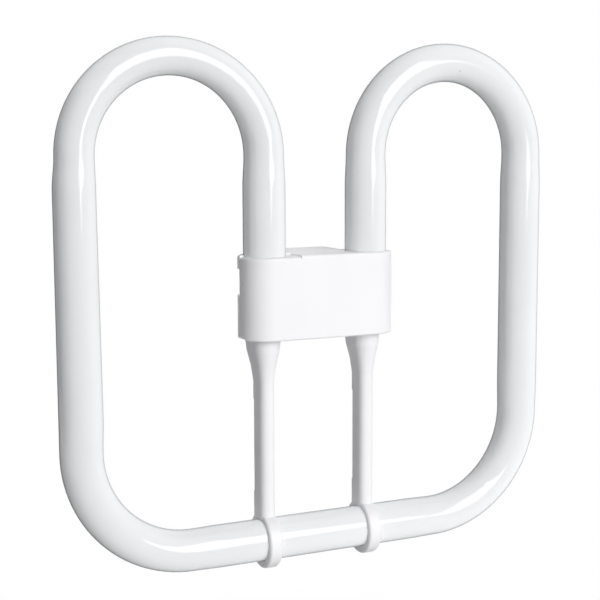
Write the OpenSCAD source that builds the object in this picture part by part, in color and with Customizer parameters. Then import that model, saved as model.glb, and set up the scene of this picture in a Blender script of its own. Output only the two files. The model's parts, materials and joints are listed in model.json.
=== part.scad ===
// Square double-loop compact fluorescent lamp with a four-pin plug-in base.
// One white glass tube makes two loops side by side and runs in and out of a moulded base.
// Two arms reach down from the base and clip round the bottom run of the tube.
// The origin is the centre of the four pins, on the floor of the well that they stand in.
// +Z is up, +Y is the way the pins point, and the lamp's front faces -Y.

/* [Tube] */
// Width over the outer legs
lamp_w = 207; // [190:1:230]
// Height over the top bends and the bottom run
lamp_h = 202.3; // [190:0.1:230]
// Outer diameter of the straight tube
tube_d = 16.4; // [14:0.1:17]
// Outer diameter of the tube where a top bend has drawn it thinner
bend_d = 15.2; // [13:0.1:17]
// Outer diameter of the tube round a bottom corner
corner_d = 16; // [13:0.1:17]
// Length over which the tube goes from straight to drawn thinner
draw_len = 12; // [6:1:16]
// Distance between the axes of the two inner legs
leg_gap = 43.8; // [40:0.1:50]
// Radius of the bottom corners, to the tube's axis
corner_r = 42.4; // [30:0.1:50]
// Height of the top run above the pins, to the outside of the bends
crown_h = 98.1; // [90:0.1:105]
// Room under the tube's sealed ends, down to the bottom wall of the base
end_room = 8.2; // [7.5:0.1:10]
// Height of the rounded shoulder on each sealed end
shoulder_h = 2.6; // [1.5:0.1:3.5]
// Radius of the flat face of each sealed end
seal_r = 5.6; // [5:0.1:6.5]
// Radius of the exhaust tip under each end
tip_r = 1.7; // [1:0.1:2]
// Length of the exhaust tip
tip_len = 3.4; // [2:0.1:4]

/* [Base] */
// Height of the base
base_h = 32.6; // [31:0.1:36]
// Plastic between the tube's surface and the outside of the base
base_side = 2.2; // [2:0.1:3]
// Wall thickness of both mouldings
wall = 1.4; // [1.2:0.05:1.5]
// Gap between the tube and the hole it passes through
tube_gap = 0.25; // [0.15:0.05:0.4]
// Rounding of the top edge
top_fillet = 1.3; // [0.8:0.1:2]
// Rounding of the bottom edge
bottom_fillet = 0.8; // [0.5:0.1:1.5]
// Rounding of the bottom corners seen from the front
bottom_corner = 2.6; // [1:0.1:4]
// Width of the bridge between the two inner legs
bridge_w = 21.8; // [18:0.1:24]
// How much lower the front moulding is to the left of the bridge
step_deep = 0.7; // [0.4:0.1:0.9]

/* [Latch] */
// Distance from the top of the base down to the side latch windows
latch_drop = 5.3; // [3:0.1:8]
// Height of the side latch windows
latch_h = 10.3; // [6:0.1:12]
// How far round the end each window goes, in degrees
latch_turn = 48; // [30:1:60]
// Thickness of the tongue inside each window
tongue_t = 0.5; // [0.4:0.05:0.8]
// Gap above and below the tongue
tongue_gap = 0.2; // [0.1:0.05:0.3]
// Angle by which the tongue stops short of the window's end
tongue_short = 3; // [2:0.5:8]

/* [Rear block] */
// Width of the block behind the base
block_w = 30.8; // [28:0.1:32]
// Distance from the tube's plane to the block's rear rim
block_y = 24.5; // [23:0.1:28]
// Rounding of the block's upright rear edges
block_edge = 1.2; // [0.6:0.1:2]
// Width of the well
well_w = 24.4; // [22:0.1:25]
// Height of the well
well_h = 19.4; // [18:0.1:22]
// Depth of the well, from the rim to the floor the pins stand on
well_deep = 9.5; // [9:0.1:11]
// Rounding of the well's corners
well_edge = 1.6; // [1:0.1:2.5]
// Thickness of the well's floor
floor_t = 2; // [1.5:0.1:2.5]
// Width of the two holding grooves in the sides of the well
groove_w = 6; // [4:0.1:8]
// Depth of the holding grooves
groove_deep = 1.1; // [0.6:0.1:1.4]
// Distance from the rim to the holding grooves
groove_in = 2.4; // [2:0.1:3]
// Length of the holding grooves along the well
groove_len = 3; // [2:0.1:4]
// Width of the keyway in the top of the well
key_w = 5; // [3:0.1:7]
// Depth of the keyway
key_deep = 2; // [1:0.1:2.5]

/* [Pins] */
// Distance between the pins across the lamp
pin_x = 7.92; // [7.5:0.01:8.5]
// Distance between the pins up the lamp
pin_z = 6.35; // [6:0.01:7]
// Diameter of a pin
pin_d = 2.35; // [2.2:0.01:2.6]
// Length of a pin above the well's floor
pin_len = 7.6; // [6:0.1:8.5]
// Length of the rounded tip of a pin
pin_nose = 0.7; // [0.4:0.1:1]
// Diameter of the shank through the floor
shank_d = 1.8; // [1.6:0.05:2]
// Gap round the shank in the floor
shank_gap = 0.05; // [0.03:0.01:0.1]
// Diameter of the riveted collar behind the floor
collar_d = 3; // [2.6:0.1:3.4]
// Thickness of the riveted collar
collar_t = 0.6; // [0.4:0.1:0.9]
// Length of the tail behind the collar
tail_len = 2.6; // [2:0.1:3]
// Diameter of the cup in the tail that takes the lead wire
cup_d = 1; // [0.9:0.05:1.2]
// Depth of that cup
cup_deep = 1.8; // [1:0.1:2.2]

/* [Lead wires] */
// Diameter of a lead wire
wire_d = 0.8; // [0.6:0.05:0.85]
// Distance between the two lead wires of one tube end
wire_gap = 7.4; // [6:0.1:9]
// Height above the bottom wall at which the wires turn
wire_low = 2.6; // [2:0.1:3.2]
// Length of wire that hangs straight down from the tube's end
wire_drop = 1.6; // [1:0.1:2.5]
// Gap between a wire and the glass face it comes out of
wire_seat = 0.1; // [0.05:0.01:0.2]
// Distance that a wire keeps from the side of the leg
wire_side = 2; // [1.5:0.1:3]
// Length over which a wire turns towards its pin
wire_turn = 3; // [2:0.1:4]

/* [Cement] */
// Height of the cement pad behind each tube end
cement_h = 12; // [8:0.5:16]
// Height of the pad's foot above the tube's shoulder
cement_up = 0.6; // [0.2:0.1:2]
// Angle that the pad wraps round the tube
cement_turn = 86; // [60:1:90]
// Gap on each face of the pad
cement_gap = 0.05; // [0.02:0.01:0.1]

/* [Arms] */
// Distance between the centre lines of the arms
arm_gap = 43.4; // [41:0.1:46]
// Width of an arm
arm_w = 6.2; // [5:0.1:8]
// Front of an arm's round face, in front of the tube's plane
arm_front = 3.5; // [2.8:0.1:4.5]
// Rear face of an arm, behind the tube's plane
arm_rear = 5.6; // [4.5:0.1:6.5]
// How much shallower the middle of the arm's back is
arm_relief = 1.1; // [0.5:0.1:1.5]
// Length of the full-depth back below the flare
arm_pad_top = 7.2; // [4:0.1:12]
// Length of the full-depth back above the clip ring
arm_pad_low = 8; // [4:0.1:12]
// Rounding of an arm's upright rear edges
arm_edge = 0.7; // [0.3:0.1:1.4]
// Width of an arm where it leaves the base
flare_w = 11.6; // [8:0.1:13]
// Front of the flare at the base, in front of the tube's plane
flare_front = 6.3; // [4:0.1:7.5]
// Rear of the flare at the base, behind the tube's plane
flare_rear = 7.2; // [5:0.1:7.5]
// Length of the flare
flare_len = 17; // [12:0.1:20]
// Width of the coring groove inside an arm
core_w = 2.6; // [2:0.1:3.2]
// Plastic left between the coring groove and an arm's face
core_wall = 1.3; // [1:0.1:1.6]

/* [Clip rings] */
// Mean thickness of a ring round the tube
ring_t = 2.5; // [2:0.1:3.5]
// How much thicker than that a ring is below and behind the tube
ring_off = 0.5; // [0:0.1:0.8]
// Gap between a ring and the tube
ring_gap = 0.12; // [0.08:0.01:0.25]
// Width of a ring along the tube
ring_w = 5.4; // [5:0.1:8]
// Rounding of a ring's outer edges
ring_edge = 1; // [0.3:0.1:1.2]

/* [Hidden] */

glass_white = [0.90, 0.92, 0.92];
plastic_white = [0.97, 0.97, 0.98];
$fn = 96;
hull_fn = 48;
wire_sides = 10;
// Angle by which a latch tongue reaches into the front wall that carries it
tongue_root = 4;
// Overshoot of a cutting shape past the face it opens
over = 1;

tube_r = tube_d / 2;
leg_x = leg_gap / 2;
outer_x = (lamp_w - tube_d) / 2;
bend_r = (outer_x - leg_x) / 2;
crown_z = crown_h - bend_d / 2;
bottom_z = crown_h - lamp_h + tube_r;
bend_z = crown_z - bend_r;
corner_z = bottom_z + corner_r;

// The tube's axes lie in the plane y = tube_y
tube_y = well_deep - block_y;
base_r = tube_r + base_side;
base_z = base_h / 2;
cavity_r = base_r - wall;
cavity_z = base_z - wall;
latch_z = base_z - latch_drop - latch_h;
tube_end_z = end_room - cavity_z;

floor_y = -floor_t;
cup_y = floor_y - collar_t - tail_len;
arm_x = arm_gap / 2;
ring_in = tube_r + ring_gap;
ring_out = ring_in + ring_t;
flare_z = -base_z - flare_len;
pad_low_z = bottom_z + ring_out + arm_pad_low;

// A length of tube that narrows evenly from one radius to another
module drawn(len, r1, r2) {
  cylinder(h = len, r1 = r1, r2 = r2);
}

// An upright leg of the tube from z0 up to z1, thinner at the ends that meet a bend
module leg(x, z0, z1, low_r, high_r) {
  low = low_r == tube_r ? 0 : draw_len;
  high = high_r == tube_r ? 0 : draw_len;
  translate([x, 0, z0]) {
    if (low > 0) drawn(low, low_r, tube_r);
    translate([0, 0, low]) cylinder(h = z1 - z0 - low - high, r = tube_r);
    translate([0, 0, z1 - z0 - high]) if (high > 0) drawn(high, tube_r, high_r);
  }
}

// A bend in the XZ plane, from angle a0, measured from +X towards +Z
module bend(x, z, bend_radius, r, a0, turn) {
  translate([x, 0, z]) rotate([90, 0, 0]) rotate([0, 0, a0])
    rotate_extrude(angle = turn) translate([bend_radius, 0]) circle(r = r);
}

// The bottom run from one corner to the other
module bottom_run() {
  half = outer_x - corner_r;
  translate([-half, 0, bottom_z]) rotate([0, 90, 0]) {
    drawn(draw_len, corner_d / 2, tube_r);
    translate([0, 0, draw_len]) cylinder(h = 2 * (half - draw_len), r = tube_r);
    translate([0, 0, 2 * half - draw_len]) drawn(draw_len, tube_r, corner_d / 2);
  }
}

// A sealed end: a shoulder that closes the tube, and the exhaust tip below it
module sealed_end() {
  shoulder = [for (a = [0:15:90]) [seal_r + (tube_r - seal_r) * sin(a), shoulder_h * (1 - cos(a))]];
  translate([leg_x, 0, tube_end_z]) rotate_extrude()
    polygon(concat(arc(0, tip_r - tip_len, tip_r, -90, 0), [[tip_r, 0]], shoulder, [[0, shoulder_h]]));
}

module half_tube() {
  sealed_end();
  leg(leg_x, tube_end_z + shoulder_h, bend_z, tube_r, bend_d / 2);
  bend(leg_x + bend_r, bend_z, bend_r, bend_d / 2, 0, 180);
  leg(outer_x, corner_z, bend_z, corner_d / 2, bend_d / 2);
  bend(outer_x - corner_r, corner_z, corner_r, corner_d / 2, -90, 90);
}

module discharge_tube() {
  color(glass_white) translate([0, tube_y, 0]) {
    half_tube();
    mirror([1, 0, 0]) half_tube();
    bottom_run();
  }
}

// Points of a quarter arc, from angle a0 to a1
function arc(cx, cy, r, a0, a1, steps = 8) =
  [for (i = [0:steps]) let (a = a0 + (a1 - a0) * i / steps) [cx + r * cos(a), cy + r * sin(a)]];

// Half section of the base: x is the distance from the middle plane
module base_section(r, z, low, high) {
  polygon(concat(
    [[0, -z]], arc(r - low, low - z, low, -90, 0), arc(r - high, z - high, high, 0, 90), [[0, z]]
  ));
}

// A body with round ends about both inner legs, with the given half section
module leg_capsule(r, z, low, high) {
  for (side = [-1, 1]) translate([side * leg_x, 0, 0]) rotate_extrude() base_section(r, z, low, high);
  for (turn = [0, 180]) rotate([0, 0, turn])
    translate([leg_x, 0, 0]) rotate([90, 0, -90]) linear_extrude(2 * leg_x) base_section(r, z, low, high);
}

// A rectangle with rounded corners, centred
module round_rect(w, h, r) {
  for (turn = [0, 1]) square([w - turn * 2 * r, h - (1 - turn) * 2 * r], center = true);
  for (x = [-1, 1], y = [-1, 1]) translate([x * (w / 2 - r), y * (h / 2 - r)]) circle(r = r);
}

// Front outline of the base, which rounds its bottom corners, as a solid along Y
module base_outline(depth) {
  half = leg_x + base_r;
  rotate([90, 0, 0]) linear_extrude(2 * depth, center = true)
    polygon(concat(
      [[-half, base_z + over], [-half, bottom_corner - base_z]],
      arc(bottom_corner - half, bottom_corner - base_z, bottom_corner, 180, 270),
      arc(half - bottom_corner, bottom_corner - base_z, bottom_corner, 270, 360),
      [[half, base_z + over]]
    ));
}

// Everything on one side of the tube's plane: -1 is the front, 1 is the rear
module side_of_plane(side) {
  depth = 60;
  translate([-lamp_w / 2, side > 0 ? 0 : -depth, -lamp_h]) cube([lamp_w, depth, 2 * lamp_h]);
}

// The base's outer and inner forms, about the tube's plane
module base_form() {
  intersection() {
    leg_capsule(base_r, base_z, bottom_fillet, top_fillet);
    base_outline(base_r + over);
  }
}

module base_cavity() {
  leg_capsule(cavity_r, cavity_z, bottom_fillet, bottom_fillet);
}

module tube_holes() {
  for (side = [-1, 1]) translate([side * leg_x, 0, 0]) cylinder(h = base_z + over, r = tube_r + tube_gap);
}

// The front moulding's outer form, whose top is a step lower to the left of the bridge
module stepped_form() {
  intersection() {
    base_form();
    union() {
      translate([0, 0, -step_deep]) base_form();
      translate([-bridge_w / 2, -base_r - over, -base_z]) cube([leg_gap + base_r, base_r + over, base_h]);
    }
  }
}

// A band of the round end wall on the right, between two angles from the tube's plane
module end_band(r0, r1, z0, z1, a0, a1) {
  translate([leg_x, 0, z0]) rotate([0, 0, a0]) rotate_extrude(angle = a1 - a0)
    translate([r0, 0]) square([r1 - r0, z1 - z0]);
}

module on_both_ends() {
  children();
  mirror([1, 0, 0]) children();
}

module latch_windows() {
  on_both_ends()
    end_band(cavity_r - over / 2, base_r + over, latch_z, latch_z + latch_h, -latch_turn, latch_turn);
}

module latch_tongues() {
  on_both_ends()
    end_band(cavity_r, cavity_r + tongue_t, latch_z + tongue_gap, latch_z + latch_h - tongue_gap,
      -tongue_root, latch_turn - tongue_short);
}

// An arm's cross-section, with a round front and two rounded corners at the rear
module arm_plan(w, front, rear) {
  r = w / 2;
  translate([0, r - front]) {
    circle(r = r);
    translate([-r, 0]) square([w, front + rear - r - arm_edge]);
    translate([arm_edge - r, 0]) square([w - 2 * arm_edge, front + rear - r]);
  }
  for (x = [-1, 1]) translate([x * (r - arm_edge), rear - arm_edge]) circle(r = arm_edge);
}

// A slice of the flare, at a share of its length down from the base, with the arm's size at 1
module flare_slice(share, thick) {
  left = 1 - share * share * (3 - 2 * share);
  translate([0, 0, -base_z - share * flare_len]) linear_extrude(thick, $fn = hull_fn)
    arm_plan(
      arm_w + left * (flare_w - arm_w), arm_front + left * (flare_front - arm_front),
      arm_rear + left * (flare_rear - arm_rear)
    );
}

// The arm's flared top, which leaves the base in a smooth curve
module arm_flare() {
  slab = 0.01;
  shares = [0, 0.3, 0.65, 1];
  for (i = [0:2]) hull() {
    flare_slice(shares[i], i == 0 ? wall / 2 : slab);
    flare_slice(shares[i + 1], slab);
  }
}

// The straight arm, with a shallower back in its middle
module arm_post() {
  difference() {
    translate([0, 0, bottom_z + tube_r]) linear_extrude(flare_z - bottom_z - tube_r + over)
      arm_plan(arm_w, arm_front, arm_rear);
    translate([-arm_w, arm_rear - arm_relief, pad_low_z])
      cube([2 * arm_w, arm_relief + over, flare_z - arm_pad_top - pad_low_z]);
  }
}

// The coring groove inside an arm, open at the parting plane
module arm_core(side) {
  deep = side > 0 ? arm_rear - arm_relief - core_wall : arm_front - core_wall;
  low = bottom_z + ring_out + wall;
  translate([-core_w / 2, side > 0 ? 0 : -deep, low]) cube([core_w, deep, flare_z - low]);
}

// A clip ring round the bottom run, with rounded outer edges
module clip_ring() {
  half = ring_w / 2;
  translate([0, ring_off, bottom_z - ring_off]) rotate([0, 90, 0]) rotate_extrude()
    polygon(concat(
      [[tube_r / 2, -half]],
      arc(ring_out - ring_edge, ring_edge - half, ring_edge, -90, 0),
      arc(ring_out - ring_edge, half - ring_edge, ring_edge, 0, 90),
      [[tube_r / 2, half]]
    ));
}

// The front or rear half of both arms and their rings
module arm_halves(side) {
  difference() {
    intersection() {
      for (x = [-arm_x, arm_x]) translate([x, 0, 0]) {
        arm_flare();
        arm_post();
        clip_ring();
      }
      side_of_plane(side);
    }
    for (x = [-arm_x, arm_x]) translate([x, 0, 0]) arm_core(side);
    translate([-lamp_w / 2, 0, bottom_z]) rotate([0, 90, 0]) cylinder(h = lamp_w, r = ring_in);
  }
}

module front_housing() {
  color(plastic_white) translate([0, tube_y, 0]) {
    difference() {
      intersection() {
        stepped_form();
        side_of_plane(-1);
      }
      base_cavity();
      tube_holes();
    }
    latch_tongues();
    arm_halves(-1);
  }
}

// The block behind the base, open towards it, so that the leads can reach the pins
module rear_block() {
  translate([0, block_y, 0]) rotate([90, 0, 0]) linear_extrude(block_y - cavity_r)
    square([block_w, base_h], center = true);
}

// Rounds the block's two upright rear edges
module block_rounding() {
  linear_extrude(2 * base_z + 2 * over, center = true) {
    translate([0, (block_y - block_edge) / 2]) square([block_w, block_y - block_edge], center = true);
    translate([0, block_y / 2]) square([block_w - 2 * block_edge, block_y], center = true);
    for (x = [-1, 1])
      translate([x * (block_w / 2 - block_edge), block_y - block_edge]) circle(r = block_edge);
  }
}

module well() {
  deep = well_deep + over;
  translate([0, block_y + over, 0]) rotate([90, 0, 0])
    linear_extrude(deep) round_rect(well_w, well_h, well_edge);
  for (side = [-1, 1])
    translate([side * (well_w + groove_deep) / 2, block_y - groove_in - groove_len / 2, 0])
      cube([groove_deep + over, groove_len, groove_w], center = true);
  translate([-key_w / 2, block_y - well_deep, well_h / 2 - over]) cube([key_w, deep, key_deep + over]);
}

// Room behind the well's floor
module block_cavity() {
  front = cavity_r - over;
  translate([-block_w / 2 + wall, front, -cavity_z])
    cube([block_w - 2 * wall, block_y - well_deep - floor_t - front, 2 * cavity_z]);
}

module pin_places() {
  for (x = [-1, 1], z = [-1, 1]) translate([x * pin_x / 2, 0, z * pin_z / 2]) children();
}

module rear_housing() {
  color(plastic_white) difference() {
    translate([0, tube_y, 0]) {
      difference() {
        union() {
          difference() {
            intersection() {
              base_form();
              side_of_plane(1);
            }
            tube_holes();
            latch_windows();
          }
          intersection() {
            rear_block();
            block_rounding();
          }
        }
        base_cavity();
        block_cavity();
        well();
      }
      arm_halves(1);
    }
    pin_places() translate([0, over, 0]) rotate([90, 0, 0])
      cylinder(h = floor_t + 2 * over, r = shank_d / 2 + shank_gap);
  }
}

// A contact pin with its shoulder on the well's floor, riveted behind it, and a cup for the lead
module contact_pin(x, z) {
  color("goldenrod") translate([x, 0, z]) rotate([-90, 0, 0]) difference() {
    union() {
      cylinder(h = pin_len - pin_nose, r = pin_d / 2);
      translate([0, 0, pin_len - pin_nose]) cylinder(h = pin_nose, r1 = pin_d / 2, r2 = pin_d / 4);
      translate([0, 0, cup_y]) cylinder(h = -cup_y, r = shank_d / 2);
      translate([0, 0, floor_y - collar_t]) cylinder(h = collar_t, r = collar_d / 2);
    }
    translate([0, 0, cup_y - over]) cylinder(h = cup_deep + over, r = cup_d / 2);
  }
}

// Points on a smooth curve through the given ones
function smooth_route(p, steps = 4) = concat(
  [for (i = [0:len(p) - 2]) let (a = p[max(i - 1, 0)], b = p[i], c = p[i + 1], d = p[min(i + 2, len(p) - 1)])
    for (k = [0:steps - 1]) let (t = k / steps)
      b + ((c - a) * t + (2 * a - 5 * b + 4 * c - d) * t * t + (3 * b - a - 3 * c + d) * t * t * t) / 2],
  [p[len(p) - 1]]
);

// Directions along a route, and a side vector carried along it without twist
function unit(v) = v / norm(v);
function headings(p) = [for (i = [0:len(p) - 1]) unit(p[min(i + 1, len(p) - 1)] - p[max(i - 1, 0)])];
function carried(t, u, i = 0) = i == len(t) ? [] :
  let (w = unit(u - (u * t[i]) * t[i])) concat([w], carried(t, w, i + 1));

// A round wire along a route
module wire(points) {
  p = smooth_route(points);
  t = headings(p);
  u = carried(t, [1, 0, 0]);
  n = wire_sides;
  rings = [for (i = [0:len(p) - 1]) for (k = [0:n - 1]) let (a = 360 * k / n)
    p[i] + wire_d / 2 * (cos(a) * u[i] + sin(a) * cross(t[i], u[i]))];
  last = (len(p) - 1) * n;
  polyhedron(rings, concat(
    [[for (k = [0:n - 1]) k]],
    [for (i = [0:len(p) - 2]) for (k = [0:n - 1]) let (m = (k + 1) % n)
      [i * n + k, (i + 1) * n + k, (i + 1) * n + m, i * n + m]],
    [[for (k = [0:n - 1]) last + n - 1 - k]]
  ));
}

// A lead from the tube's end to the cup of a pin: side is -1 left or 1 right, level -1 lower or 1 upper
module lead(side, level) {
  inner = level < 0;
  x0 = side * (leg_x + (inner ? -1 : 1) * wire_gap / 2);
  pin = [side * pin_x / 2, cup_y + cup_deep / 2, level * pin_z / 2];
  low_z = -cavity_z + wire_low;
  mid_x = side * (leg_x - tube_r - wire_side);
  mid_z = inner ? low_z : tube_end_z;
  back = tube_y + (inner ? 0 : cavity_r / 2);
  color("silver") wire([
    for (down = [wire_seat, wire_drop / 2, wire_drop]) [x0, tube_y, tube_end_z - down],
    [x0, back, low_z],
    [mid_x, back, mid_z], pin - [-side * wire_side, wire_turn + cup_deep, 0],
    pin - [0, wire_turn, 0], pin - [0, cup_deep, 0], pin
  ]);
}

// The cement between a tube end and the wall behind it
module cement(side) {
  r0 = tube_r + cement_gap;
  color("gainsboro") translate([side * leg_x, tube_y, tube_end_z + shoulder_h + cement_up])
    rotate([0, 0, 90 - cement_turn / 2]) rotate_extrude(angle = cement_turn)
      translate([r0, 0]) square([cavity_r - cement_gap - r0, cement_h]);
}

discharge_tube();
front_housing();
rear_housing();
contact_pin(-pin_x / 2, pin_z / 2);  // pin_upper_left
contact_pin(pin_x / 2, pin_z / 2);  // pin_upper_right
contact_pin(-pin_x / 2, -pin_z / 2);  // pin_lower_left
contact_pin(pin_x / 2, -pin_z / 2);  // pin_lower_right
lead(-1, 1);  // lead_upper_left
lead(1, 1);  // lead_upper_right
lead(-1, -1);  // lead_lower_left
lead(1, -1);  // lead_lower_right
cement(-1);  // cement_left
cement(1);  // cement_right
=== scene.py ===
# Compact fluorescent lamp: finishes, stage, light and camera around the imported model
import json
import math

import bpy
from mathutils import Matrix, Vector


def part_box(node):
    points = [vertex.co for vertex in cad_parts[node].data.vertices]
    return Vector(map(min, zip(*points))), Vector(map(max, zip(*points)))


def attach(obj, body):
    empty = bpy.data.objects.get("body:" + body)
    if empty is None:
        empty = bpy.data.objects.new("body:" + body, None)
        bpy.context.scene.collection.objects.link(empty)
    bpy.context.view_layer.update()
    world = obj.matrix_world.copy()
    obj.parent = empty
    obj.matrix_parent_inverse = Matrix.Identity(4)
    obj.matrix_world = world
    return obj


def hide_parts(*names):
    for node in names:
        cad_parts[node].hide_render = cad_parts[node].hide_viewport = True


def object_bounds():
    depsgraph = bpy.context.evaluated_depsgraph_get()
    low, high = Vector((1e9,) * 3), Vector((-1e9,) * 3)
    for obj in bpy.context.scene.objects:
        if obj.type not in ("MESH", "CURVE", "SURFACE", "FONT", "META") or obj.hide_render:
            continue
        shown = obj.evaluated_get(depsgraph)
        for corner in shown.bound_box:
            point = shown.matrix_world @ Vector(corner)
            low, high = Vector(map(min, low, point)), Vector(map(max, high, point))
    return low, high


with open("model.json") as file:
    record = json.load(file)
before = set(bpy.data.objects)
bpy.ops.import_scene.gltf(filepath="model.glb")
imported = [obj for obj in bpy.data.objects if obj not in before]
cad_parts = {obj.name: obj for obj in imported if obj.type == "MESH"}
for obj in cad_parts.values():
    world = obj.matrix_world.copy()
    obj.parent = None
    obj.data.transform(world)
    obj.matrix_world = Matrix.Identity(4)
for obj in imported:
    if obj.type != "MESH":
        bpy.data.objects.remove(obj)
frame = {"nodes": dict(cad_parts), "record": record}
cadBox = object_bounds()
scene = bpy.context.scene
mm = 0.001
print("frame loaded:", len(frame["nodes"]), "nodes")


# One socket of a shader tree, with arithmetic that adds Math nodes
class Sock:
    def __init__(self, tree, out):
        self.tree, self.out = tree, out

    def math(self, op, other=None, swap=False):
        node = self.tree.nodes.new("ShaderNodeMath")
        node.operation = op
        pair = [self, other] if not swap else [other, self]
        for slot, value in zip(node.inputs, pair):
            if isinstance(value, Sock):
                self.tree.links.new(value.out, slot)
            elif value is not None:
                slot.default_value = value
        return Sock(self.tree, node.outputs[0])

    def __add__(self, other): return self.math("ADD", other)
    def __radd__(self, other): return self.math("ADD", other)
    def __sub__(self, other): return self.math("SUBTRACT", other)
    def __rsub__(self, other): return self.math("SUBTRACT", other, swap=True)
    def __mul__(self, other): return self.math("MULTIPLY", other)
    def __rmul__(self, other): return self.math("MULTIPLY", other)
    def __truediv__(self, other): return self.math("DIVIDE", other)
    def __pow__(self, other): return self.math("POWER", other)


# A material with its nodes; the finish is set on the Principled shader
class Finish:
    def __init__(self, name, **fixed):
        self.mat = bpy.data.materials.new(name)
        self.mat.use_nodes = True
        self.tree = self.mat.node_tree
        self.shader = self.tree.nodes["Principled BSDF"]
        self.surface = self.tree.nodes["Material Output"].inputs["Surface"]
        for key, value in fixed.items():
            self.shader.inputs[key.replace("_", " ")].default_value = value

    def node(self, kind, settings=None, out=0, **inputs):
        node = self.tree.nodes.new("ShaderNode" + kind)
        for key, value in (settings or {}).items():
            if key == "stops":
                while len(node.color_ramp.elements) < len(value):
                    node.color_ramp.elements.new(0.5)
                for stop, (place, colour) in zip(node.color_ramp.elements, value):
                    stop.position, stop.color = place, colour
            else:
                setattr(node, key, value)
        for key, value in inputs.items():
            slot = node.inputs[int(key[1:])] if key[0] == "n" and key[1:].isdigit() else node.inputs[key]
            if isinstance(value, Sock):
                self.tree.links.new(value.out, slot)
            else:
                slot.default_value = value
        return Sock(self.tree, node.outputs[out])

    def place(self):
        return self.node("TexCoord", out=3)

    def noise(self, scale, detail=3.0, roughness=0.5, where=None):
        return self.node("TexNoise", Vector=where or self.place(), Scale=scale, Detail=detail, Roughness=roughness)

    def fade(self, value, low, high, start=0.0, end=1.0):
        return self.node("MapRange", {"interpolation_type": "SMOOTHSTEP"}, n0=value, n1=low, n2=high, n3=start, n4=end)

    def blend(self, factor, first, second):
        return self.node("Mix", {"data_type": "RGBA"}, out=2, n0=factor, n6=first, n7=second)

    def bump(self, height, strength, distance, under=None):
        extra = {"Normal": under} if under else {}
        return self.node("Bump", Height=height, Strength=strength, Distance=distance, **extra)

    def wire(self, **links):
        for key, value in links.items():
            self.tree.links.new(value.out, self.shader.inputs[key.replace("_", " ")])
        return self.mat


# Glass tube: opaque white phosphor seen through a clear glossy wall, its grazing edges darkened by painted shade
glassLook = {
    "coat": (0.88, 0.89, 0.90, 1), "coatShade": (0.86, 0.872, 0.88, 1), "edge": (0.50, 0.52, 0.54, 1),
    "edgeStart": 0.55, "edgeEnd": 0.88, "gloss": 0.09, "glossStart": 0.45, "glossEnd": 0.8,
    "specks": [(-0.1005, -0.0190, 0.0330), (0.0610, -0.0217, 0.0869)], "speckSize": 0.0003,
    "speck": (0.12, 0.11, 0.1, 1), "speckDark": 0.22,
}


def coatedGlass(look):
    f = Finish("coatedGlass", Roughness=0.42, Diffuse_Roughness=0.8, Coat_Weight=1.0, Coat_Roughness=look["gloss"], Coat_IOR=1.5,
               Specular_IOR_Level=0.0)
    cloudy = f.fade(f.noise(28, 4, 0.6), 0.35, 0.7)
    base = f.blend(cloudy, look["coat"], look["coatShade"])
    # Painted shade: a grey blended into the colour towards the silhouette, darkening the tube's outline where the glass
    # is seen edge-on
    rim = f.node("LayerWeight", out=1, Blend=0.5)
    edge = f.fade(rim, look["edgeStart"], look["edgeEnd"])
    base = f.blend(edge, base, look["edge"])
    for spot in look["specks"]:
        away = f.node("VectorMath", {"operation": "DISTANCE"}, out=1, n0=f.place(), n1=spot)
        base = f.blend(f.fade(away, look["speckSize"], look["speckSize"] * 2, look["speckDark"], 0.0), base, look["speck"])
    wave = f.bump(f.noise(60, 2), 0.05, 0.0004)
    dulled = f.fade(rim, look["glossStart"], look["glossEnd"], 1.0, 0.1)
    f.wire(Base_Color=base, Normal=wave, Coat_Weight=dulled)
    return f.mat


# Moulded white plastic, satin, with the faint grain of the mould
plasticLook = {"white": (0.94, 0.935, 0.955, 1), "shade": (0.925, 0.92, 0.94, 1), "low": 0.34, "high": 0.46}


def mouldedPlastic(look):
    f = Finish("whitePlastic", Specular_IOR_Level=0.35)
    broad = f.fade(f.noise(45, 3), 0.3, 0.7)
    grain = f.noise(5200, 2, 0.6)
    f.wire(
        Base_Color=f.blend(broad, look["white"], look["shade"]),
        Roughness=f.fade(broad, 0.0, 1.0, look["low"], look["high"]),
        Normal=f.bump(grain, 0.12, 0.00003, f.bump(broad, 0.15, 0.0002)),
    )
    return f.mat


# Turned brass of the contact pins
brassLook = {"bright": (0.86, 0.66, 0.34, 1), "dull": (0.66, 0.48, 0.24, 1), "ring": 9000}


def turnedBrass(look):
    f = Finish("pinBrass", Metallic=1.0)
    tarnish = f.fade(f.noise(700, 4), 0.35, 0.75)
    rings = f.node("TexWave", {"wave_type": "BANDS", "bands_direction": "Y"}, out=1,
                   Vector=f.place(), Scale=look["ring"], Distortion=0.4)
    f.wire(
        Base_Color=f.blend(tarnish, look["bright"], look["dull"]),
        Roughness=f.fade(tarnish, 0.0, 1.0, 0.2, 0.4),
        Normal=f.bump(rings, 0.1, 0.00002),
    )
    return f.mat


def platedWire():
    f = Finish("leadWire", Metallic=1.0)
    spots = f.noise(1500, 3)
    f.wire(
        Base_Color=f.blend(spots, (0.78, 0.77, 0.74, 1), (0.55, 0.54, 0.52, 1)),
        Roughness=f.fade(spots, 0.2, 0.8, 0.25, 0.45),
    )
    return f.mat


def siliconeCement():
    f = Finish("lampCement", Specular_IOR_Level=0.4)
    lumps = f.noise(300, 4)
    f.wire(
        Base_Color=f.blend(lumps, (0.80, 0.79, 0.75, 1), (0.70, 0.69, 0.65, 1)),
        Roughness=f.fade(lumps, 0.2, 0.8, 0.5, 0.7),
        Normal=f.bump(lumps, 0.4, 0.0003),
    )
    return f.mat


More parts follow.
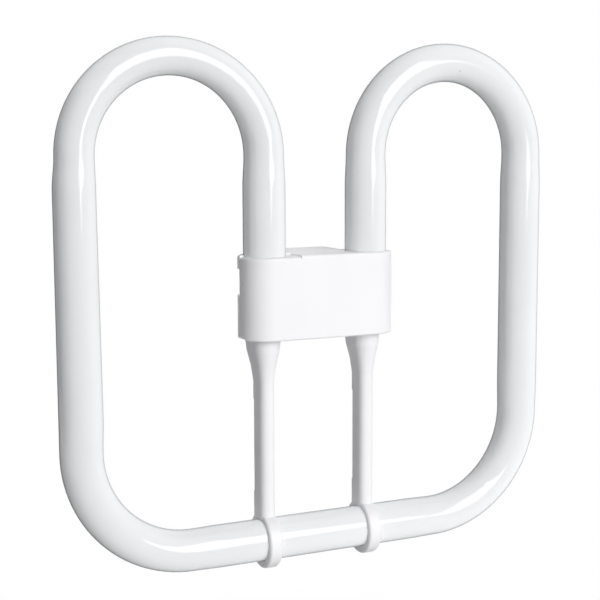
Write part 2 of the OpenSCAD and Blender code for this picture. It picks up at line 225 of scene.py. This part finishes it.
finishes = {
    "coated_glass": coatedGlass(glassLook),
    "white_plastic": mouldedPlastic(plasticLook),
    "pin_brass": turnedBrass(brassLook),
    "lead_wire": platedWire(),
    "lamp_cement": siliconeCement(),
}
slotOf = {part["node"]: part["material_slot"] for part in frame["record"]["subparts"]}
for name, piece in frame["nodes"].items():
    piece.data.materials.clear()
    piece.data.materials.append(finishes[slotOf[name]])
print("finishes set:", len(finishes))


# The bent tube, one smooth sweep whose bore narrows gently into each bend
tubeSize = {
    "straight": 8.2 * mm, "bend": 7.6 * mm, "corner": 8.0 * mm,
    "legX": 21.9 * mm, "cornerR": 42.4 * mm, "drawIn": 12 * mm,
    "shoulder": 2.6 * mm, "sealR": 5.6 * mm, "tipR": 1.7 * mm, "tipLen": 3.4 * mm,
    "rings": 28, "sides": 30,
    # how far the left half strays from the right: knot, then x, z and radius where it differs
    "leftWander": {
        3: (0.15 * mm, 0, 8.15 * mm), 4: (-0.4 * mm, 0, 7.8 * mm), 5: (-0.1 * mm, 0, 7.25 * mm),
        6: (0, -0.3 * mm, 7.1 * mm), 7: (0, 0, 7.7 * mm),
    },
}


def tubePath(size, box):
    low, high = box
    outerX = high[0] - size["straight"]
    bottomZ = low[2] + size["straight"]
    crownZ = high[2] - size["bend"]
    bendR = (outerX - size["legX"]) / 2
    topZ, cornerZ = crownZ - bendR, bottomZ + size["cornerR"]
    return {"outerX": outerX, "bottomZ": bottomZ, "crownZ": crownZ, "bendR": bendR, "topZ": topZ,
            "cornerZ": cornerZ, "y": (low[1] + high[1]) / 2}


def halfKnots(size, at, endZ):
    # each knot: x, z, direction of travel, reach of its handles back and on, radius
    legX, outerX, bendR, cornerR = size["legX"], at["outerX"], at["bendR"], size["cornerR"]
    round90 = 4 / 3 * math.tan(math.pi / 8)
    up, out, down, inward = (0, 1), (1, 0), (0, -1), (-1, 0)
    bend, corner, straight, drawIn = size["bend"], size["corner"], size["straight"], size["drawIn"]
    stepB, stepC = round90 * bendR, round90 * cornerR
    short = drawIn / 3
    return [
        (legX, endZ, up, 0, short, straight),
        (legX, at["topZ"] - drawIn, up, short, short, straight),
        (legX, at["topZ"], up, short, stepB, (straight + 2 * bend) / 3),
        (legX + bendR, at["crownZ"], out, stepB, stepB, bend),
        (outerX, at["topZ"], down, stepB, short, (straight + 2 * bend) / 3),
        (outerX, at["topZ"] - drawIn, down, short, short, straight),
        (outerX, at["cornerZ"] + drawIn, down, short, short, straight),
        (outerX, at["cornerZ"], down, short, stepC, corner),
        (outerX - cornerR, at["bottomZ"], inward, stepC, short, corner),
        (outerX - cornerR - drawIn, at["bottomZ"], inward, short, short, straight),
    ]


def deselectAll():
    if bpy.context.object and bpy.context.object.mode != "OBJECT":
        bpy.ops.object.mode_set(mode="OBJECT")
    bpy.ops.object.select_all(action="DESELECT")


def sealEnd(tube, size, x, endZ):
    # the open end is closed with a shoulder, a flat and an exhaust tip, extruded downwards
    steps = [(size["straight"] * math.cos(a) + size["sealR"] * (1 - math.cos(a)), -size["shoulder"] * math.sin(a))
             for a in (0.4, 0.8, 1.2, math.pi / 2)]
    steps += [(size["tipR"], -size["shoulder"]), (size["tipR"], -size["shoulder"] - size["tipLen"] / 2)]
    steps += [(size["tipR"] / 2, -size["shoulder"] - size["tipLen"])]
    for v in tube.data.vertices:
        v.select = abs(v.co.z - endZ) < 1e-6 and abs(v.co.x - x) < size["straight"] * 1.1
    bpy.context.tool_settings.mesh_select_mode = (True, False, False)
    bpy.ops.object.mode_set(mode="EDIT")
    radius, height = size["straight"], 0
    for r, z in steps:
        bpy.ops.mesh.extrude_region_move(TRANSFORM_OT_translate={"value": (0, 0, z - height)})
        bpy.ops.transform.resize(value=(r / radius, r / radius, 1), center_override=(x, tube["midY"], endZ + z))
        radius, height = r, z
    bpy.ops.mesh.edge_face_add()
    bpy.ops.mesh.select_all(action="DESELECT")
    bpy.ops.object.mode_set(mode="OBJECT")


def bentTube(size):
    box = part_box("discharge_tube")
    at = tubePath(size, box)
    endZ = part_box("front_housing")[1][2] - 23.0 * mm + size["shoulder"]
    right = halfKnots(size, at, endZ)
    left = [(-x, z, (d[0], -d[1]), on, back, r) for x, z, d, back, on, r in reversed(right)]
    for place, (dx, dz, r) in size["leftWander"].items():
        x, z, d, back, on, old = left[place]
        left[place] = (x + dx, z + dz, d, back, on, r or old)
    knots = right + left
    deselectAll()
    bpy.ops.curve.primitive_bezier_curve_add(location=(0, 0, 0))
    curve = bpy.context.object
    curve.name = curve.data.name = "bent_tube"
    spline = curve.data.splines[0]
    spline.bezier_points.add(len(knots) - 2)
    spline.radius_interpolation = "EASE"
    spline.resolution_u = size["rings"]
    curve.data.bevel_depth = size["straight"]
    curve.data.bevel_resolution = size["sides"]
    curve.data.twist_mode = "MINIMUM"
    for point, (x, z, d, back, on, r) in zip(spline.bezier_points, knots):
        spot, way = Vector((x, at["y"], z)), Vector((d[0], 0, d[1]))
        point.handle_left_type = point.handle_right_type = "FREE"
        point.co = spot
        point.handle_left, point.handle_right = spot - way * back, spot + way * on
        point.radius = r / size["straight"]
    bpy.ops.object.convert(target="MESH")
    tube = bpy.context.object
    tube["midY"] = at["y"]
    bpy.ops.object.mode_set(mode="EDIT")
    bpy.ops.mesh.select_all(action="SELECT")
    bpy.ops.mesh.remove_doubles(threshold=1e-6)
    bpy.ops.mesh.select_all(action="DESELECT")
    bpy.ops.object.mode_set(mode="OBJECT")
    for side in (1, -1):
        sealEnd(tube, size, side * size["legX"], endZ)
    bpy.ops.object.mode_set(mode="EDIT")
    bpy.ops.mesh.select_all(action="SELECT")
    bpy.ops.mesh.normals_make_consistent(inside=False)
    bpy.ops.object.mode_set(mode="OBJECT")
    bpy.ops.object.shade_smooth_by_angle(angle=math.radians(40))
    tube.data.materials.clear()
    tube.data.materials.append(finishes["coated_glass"])
    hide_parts("discharge_tube")
    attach(tube, "root")
    return tube


tube = bentTube(tubeSize)
print("tube bent:", len(tube.data.polygons), "faces")


# Pale floor under the lamp, which turns white away from it
stageLook = {"drop": 70 * mm, "size": 9.0, "clear": 0.0, "gone": 0.16, "near": 0.6, "pale": (0.88, 0.88, 0.88, 1), "bounced": (0.08, 0.08, 0.08, 1)}


def paleFloor(look):
    deselectAll()
    bpy.ops.mesh.primitive_plane_add(size=look["size"], location=(0, 0, cadBox[0][2] - look["drop"]))
    floor = bpy.context.object
    floor.name = "floor"
    f = Finish("paleFloor", Roughness=0.9)
    away = f.node("VectorMath", {"operation": "LENGTH"}, out=1, n0=f.place())
    white = f.node("Emission", Color=(1, 1, 1, 1), Strength=1.0)
    rays = f.node("LightPath", out=0)
    gloss = f.node("LightPath", out=3)
    seen = f.node("Math", {"operation": "MAXIMUM"}, n0=rays, n1=gloss)
    f.wire(Base_Color=f.blend(seen, look["bounced"], look["pale"]))
    far = f.fade(away, look["clear"], look["gone"], look["near"], 1.0) * seen
    mixed = f.node("MixShader", n0=far, n1=Sock(f.tree, f.shader.outputs[0]), n2=white)
    f.tree.links.new(mixed.out, f.surface)
    floor.data.materials.append(f.mat)
    return floor


def whiteWorld(ambient):
    world = bpy.data.worlds.new("studio")
    scene.world = world
    world.use_nodes = True
    tree = world.node_tree
    back = tree.nodes["Background"]
    path = tree.nodes.new("ShaderNodeLightPath")
    camera, gloss, glass = (Sock(tree, path.outputs[n]) for n in ("Is Camera Ray", "Is Glossy Ray", "Is Transmission Ray"))
    seen = camera.math("MAXIMUM", gloss).math("MAXIMUM", glass)
    strength = seen * (1 - ambient) + ambient
    back.inputs["Color"].default_value = (1, 1, 1, 1)
    tree.links.new(strength.out, back.inputs["Strength"])


# Grey card out of view, which keeps the white surroundings off the left faces
cardLook = {"at": (-0.6, 0.15, 0.2), "height": 0.74, "width": 0.9, "grey": (0.15, 0.15, 0.16, 1), "worn": (0.13, 0.13, 0.14, 1)}


def darkCard(look):
    deselectAll()
    bpy.ops.mesh.primitive_plane_add(size=1, location=look["at"], rotation=(0, math.radians(90), 0))
    card = bpy.context.object
    card.name = "dark_card"
    card.scale = (look["height"], look["width"], 1)
    bpy.ops.object.transform_apply(location=False, rotation=True, scale=True)
    f = Finish("darkCard", Roughness=0.9)
    f.wire(Base_Color=f.blend(f.noise(8), look["grey"], look["worn"]))
    card.data.materials.append(f.mat)
    card.visible_camera = False
    return card


paleFloor(stageLook)
whiteWorld(0.07)
darkCard(cardLook)

# Softboxes: azimuth 0 is in front of the lamp and positive to its right; level is the white they give head on
lamps = [
    {"name": "key", "azimuth": 16, "elevation": 21, "away": 1.2, "size": (0.58, 0.90), "lean": 24, "level": 0.64},
    {"name": "left_fill", "azimuth": -19, "elevation": 5, "away": 1.5, "size": (1.2, 1.4), "lean": 0, "level": 0.44},
    {"name": "top", "azimuth": 30, "elevation": 78, "away": 1.4, "size": (1.2, 1.2), "lean": 0, "level": 0.12},
    {"name": "rear_fill", "azimuth": 172, "elevation": 10, "away": 1.5, "size": (0.7, 0.9), "lean": 0, "level": 0.72},
    {"name": "right_fill", "azimuth": 125, "elevation": 10, "away": 1.5, "size": (0.9, 0.9), "lean": 0, "level": 0.24},
]
# White card on the floor in front, which lights the undersides
lowCard = {"at": (0.16, -0.26), "size": (0.5, 0.45), "glow": 0.6}


def lookFrom(azimuth, elevation):
    a, e = math.radians(azimuth), math.radians(elevation)
    return Vector((math.sin(a) * math.cos(e), -math.cos(a) * math.cos(e), math.sin(e)))


def areaLight(name, size, energy, matrix):
    data = bpy.data.lights.new(name, "AREA")
    data.shape = "RECTANGLE"
    data.size, data.size_y = size
    data.energy = energy
    light = bpy.data.objects.new(name, data)
    light.matrix_world = matrix
    light.visible_camera = False
    scene.collection.objects.link(light)
    return light


def softbox(lamp, centre):
    back = lookFrom(lamp["azimuth"], lamp["elevation"])
    turn = back.to_track_quat("Z", "Y").to_matrix().to_4x4() @ Matrix.Rotation(math.radians(lamp["lean"]), 4, "Z")
    energy = lamp["level"] * (math.pi * lamp["away"]) ** 2
    light = areaLight(lamp["name"], lamp["size"], energy, Matrix.Translation(centre + back * lamp["away"]) @ turn)
    light.visible_glossy = lamp["name"] == "key"


for lamp in lamps:
    softbox(lamp, Vector((0, -0.015, 0)))
upwards = Matrix.Translation((*lowCard["at"], cadBox[0][2] - stageLook["drop"] + mm)) @ Matrix.Rotation(math.pi, 4, "X")
cardPower = lowCard["glow"] * math.pi * lowCard["size"][0] * lowCard["size"][1]
areaLight("low_card", lowCard["size"], cardPower, upwards).visible_glossy = False
print("stage lit:", len(lamps), "softboxes and a card")

# Camera at the photograph's angle: degrees, metres, and the lens in pixels over 600 across
shot = {"azimuth": -25.258, "elevation": 6.825, "roll": -0.197, "away": 0.4956,
        "aim": (-0.007083, -0.015, -0.002138), "lensPixels": 1272.24, "shiftPixels": 0.5}


def addCamera(shot):
    azimuth, elevation, roll = (math.radians(shot[k]) for k in ("azimuth", "elevation", "roll"))
    back = Vector((math.sin(azimuth) * math.cos(elevation), -math.cos(azimuth) * math.cos(elevation), math.sin(elevation)))
    right = Vector((math.cos(azimuth), math.sin(azimuth), 0))
    up = back.cross(right)
    turned = right * math.cos(roll) + up * math.sin(roll)
    upright = up * math.cos(roll) - right * math.sin(roll)
    data = bpy.data.cameras.new("camera")
    camera = bpy.data.objects.new("camera", data)
    scene.collection.objects.link(camera)
    turn = Matrix((turned, upright, back)).transposed()
    camera.matrix_world = Matrix.Translation(Vector(shot["aim"]) + back * shot["away"]) @ turn.to_4x4()
    data.sensor_width = 36.0
    data.lens = shot["lensPixels"] * 36.0 / 600
    data.shift_x = shot["shiftPixels"] / 600
    data.clip_start, data.clip_end = 0.01, 30
    scene.camera = camera


addCamera(shot)
scene.view_settings.view_transform = "Standard"
print("camera set")
